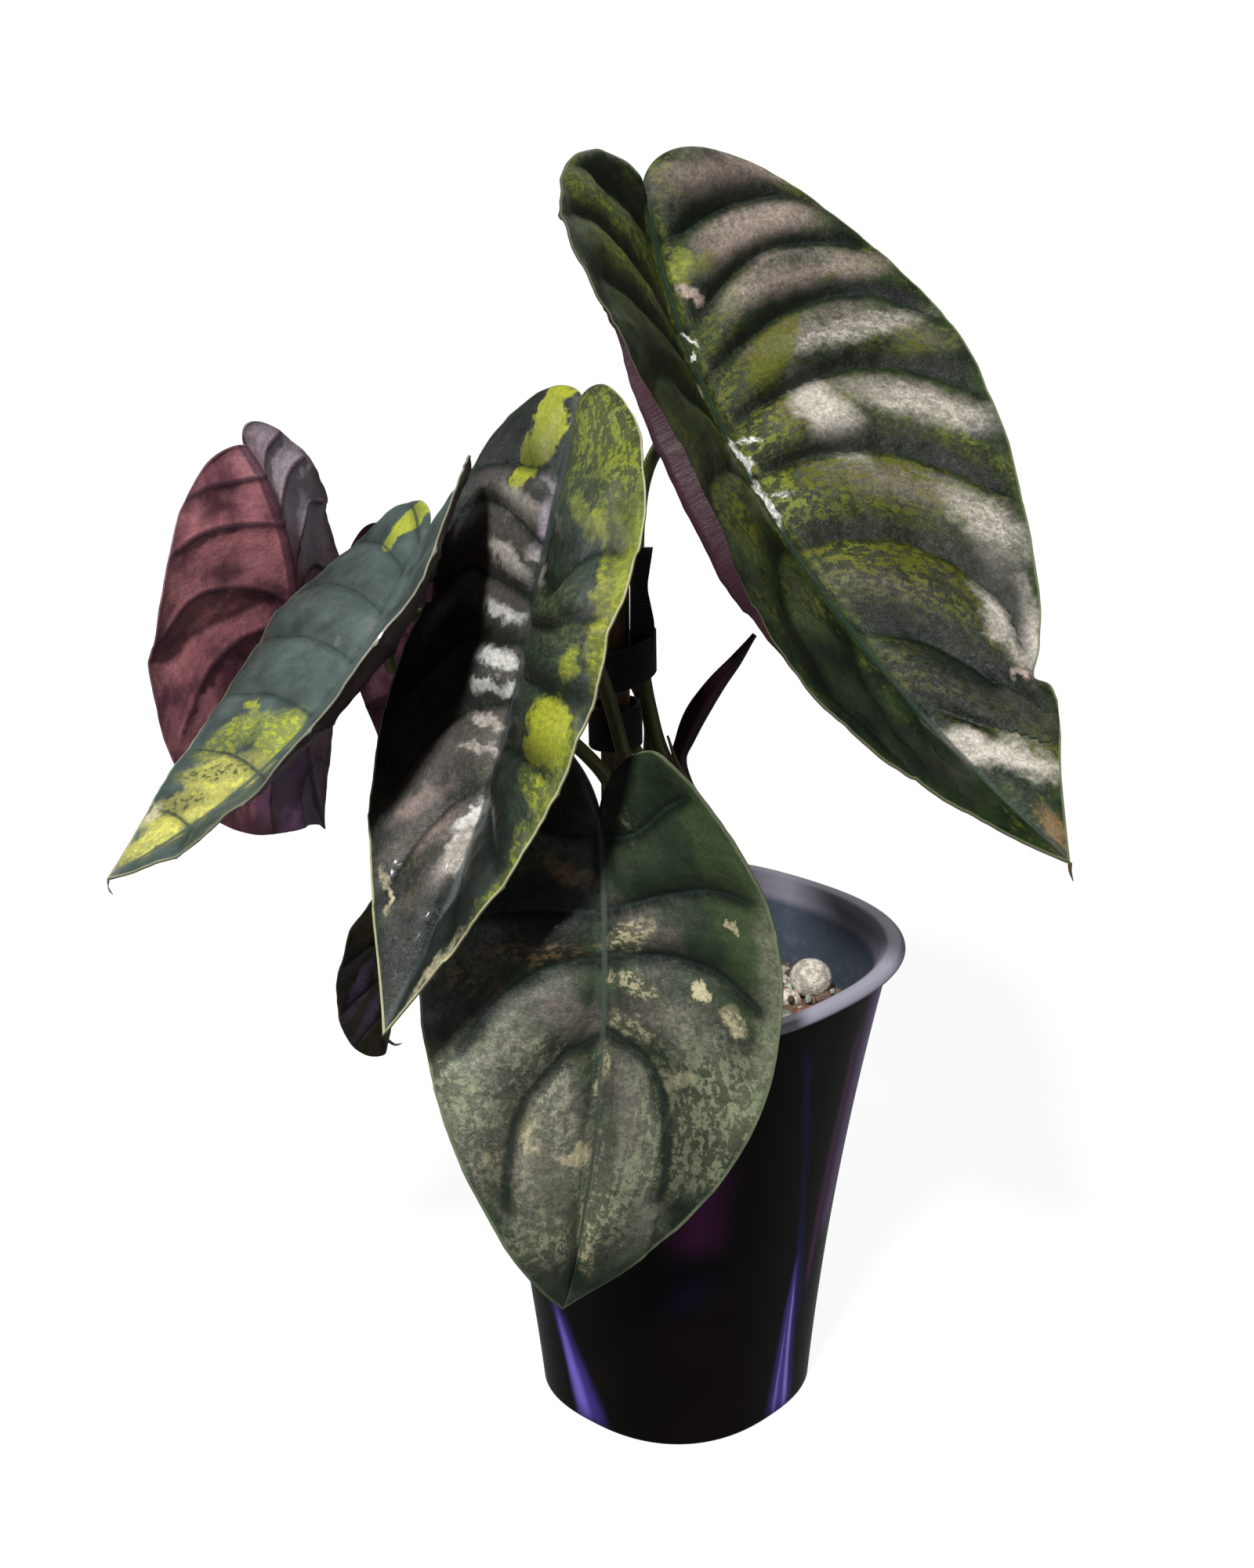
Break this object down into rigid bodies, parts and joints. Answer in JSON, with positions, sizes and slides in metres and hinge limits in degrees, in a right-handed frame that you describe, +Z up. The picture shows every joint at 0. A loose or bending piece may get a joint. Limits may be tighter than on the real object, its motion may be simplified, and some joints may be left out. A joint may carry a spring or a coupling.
{
  "type": "potted golden latte alocasia",
  "caption": "Variegated alocasia with heart-shaped quilted leaves on long stalks, tied to a stake, in a rounded square flared pot with a separate lined rim and a mineral bed.",
  "frame": {"origin": "centre of the pot's foot, on the surface it stands on", "axes": "+Z up; -Y towards the side the picture shows; +X to that side's right"},
  "size_m": [0.2682, 0.1951, 0.4089],
  "materials": {
    "shell": "glossy purplish black with soft violet reflections",
    "liner": "satin lavender grey",
    "bed": "matt mineral mix of brown, terracotta, grey and pale stones",
    "stem_base": "matt, fibrous",
    "stake": "matt, plain",
    "tie": "black finely ribbed tape",
    "leaf_green": "leathery, glossy, dark green with yellow and cream marbling",
    "leaf_maroon": "leathery, satin, maroon underside with darker veins",
    "stalk": "smooth, olive green",
    "new_leaf": "satin, near-black maroon",
    "sheath": "dry, papery"
  },
  "bodies": {
    "root": {"pot_shell": "shell", "pot_liner": "liner", "substrate": "bed", "stem_base": "stem_base", "stake": "stake", "tie_upper": "tie", "tie_lower": "tie", "leaf_right": "leaf_green", "stalk_right": "stalk", "leaf_centre": "leaf_green", "stalk_centre": "stalk", "leaf_front": "leaf_green", "stalk_front": "stalk", "leaf_back_left": "leaf_maroon", "stalk_back_left": "stalk", "leaf_front_left": "leaf_green", "stalk_front_left": "stalk", "leaf_low_left": "leaf_maroon", "stalk_low_left": "stalk", "leaf_behind": "leaf_maroon", "stalk_behind": "stalk", "new_leaf": "new_leaf", "sheath": "sheath"}
  },
  "joints": []
}
